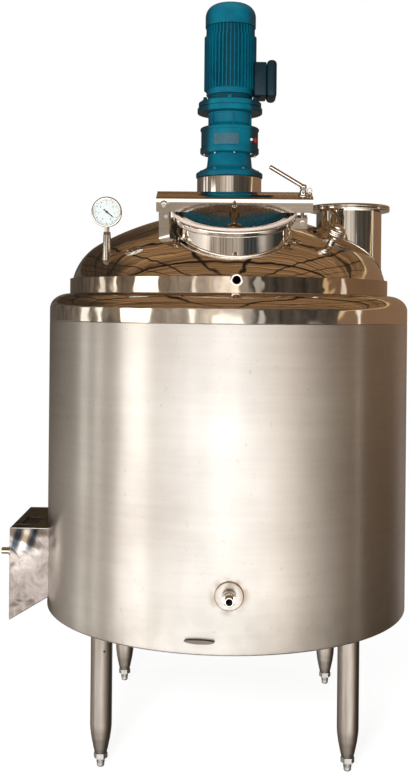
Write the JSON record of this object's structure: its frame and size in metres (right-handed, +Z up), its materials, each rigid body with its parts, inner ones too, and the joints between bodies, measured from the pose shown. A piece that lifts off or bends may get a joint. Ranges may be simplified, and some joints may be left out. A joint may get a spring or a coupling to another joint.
{
  "type": "jacketed precipitation tank",
  "caption": "Stainless jacketed mixing tank on legs, with a domed top, a geared motor drive, a swing-bar manhole, a feed neck, a pressure gauge and a side box.",
  "frame": {"origin": "on the floor, in the middle of the whole tank's outline seen from above", "axes": "+Z up, -Y is the front with the manhole, +X is the right with the feed neck"},
  "size_m": [1.397, 1.318, 2.536],
  "materials": {
    "polished_steel": "mirror polished stainless",
    "satin_steel": "satin rolled stainless",
    "brushed_tube": "brushed stainless tube",
    "blue_enamel": "semi-gloss blue enamel on cast metal",
    "dark_blue_enamel": "dark blue enamel"
  },
  "bodies": {
    "tank": {"jacket_shell": "satin_steel", "jacket_shoulder": "polished_steel", "vessel_shell": "polished_steel", "vessel_collar": "polished_steel", "top_dome": "polished_steel", "bottom_head": "polished_steel", "bottom_outlet": "polished_steel", "leg_front_left": "brushed_tube", "leg_front_right": "brushed_tube", "leg_rear_left": "brushed_tube", "leg_rear_right": "brushed_tube", "foot_front_left": "polished_steel", "foot_front_right": "polished_steel", "foot_rear_left": "polished_steel", "foot_rear_right": "polished_steel", "manhole_neck": "polished_steel", "manhole_rim": "polished_steel", "bar_hinge": "polished_steel", "hinge_pin": "polished_steel", "clamp_lugs": "polished_steel", "clamp_pin": "polished_steel", "clamp_bolt": "polished_steel", "drive_pedestal": "polished_steel", "gearbox_foot": "blue_enamel", "gear_housing": "blue_enamel", "input_housing": "blue_enamel", "motor_flange": "blue_enamel", "motor_body": "blue_enamel", "fan_cover": "blue_enamel", "terminal_box": "dark_blue_enamel", "feed_neck": "polished_steel", "feed_flange": "polished_steel", "feed_cover": "polished_steel", "dome_stub": "polished_steel", "dome_stub_clamp": "polished_steel", "gauge_socket": "polished_steel", "gauge_case": "polished_steel", "collar_stub": "polished_steel", "inlet_pad": "polished_steel", "jacket_inlet": "polished_steel", "jacket_lip": "polished_steel", "side_box": "polished_steel", "box_gland": "polished_steel"},
    "cross_bar": {"manhole_cover": "polished_steel", "cover_spindle": "polished_steel", "manhole_bar": "polished_steel"},
    "clamp_nut": {"lever_nut": "polished_steel"}
  },
  "joints": [
    {"name": "bar_swing", "type": "hinge", "parent": "tank", "child": "cross_bar", "pos_m": [-0.131, -0.36374, 1.79947], "axis": [0, -0.9252, -0.3795], "range_deg": [0, 100]},
    {"name": "nut_turn", "type": "hinge", "parent": "cross_bar", "child": "clamp_nut", "pos_m": [0.307, -0.37258, 1.82103], "axis": [0, -0.3795, 0.9252], "continuous": true}
  ]
}
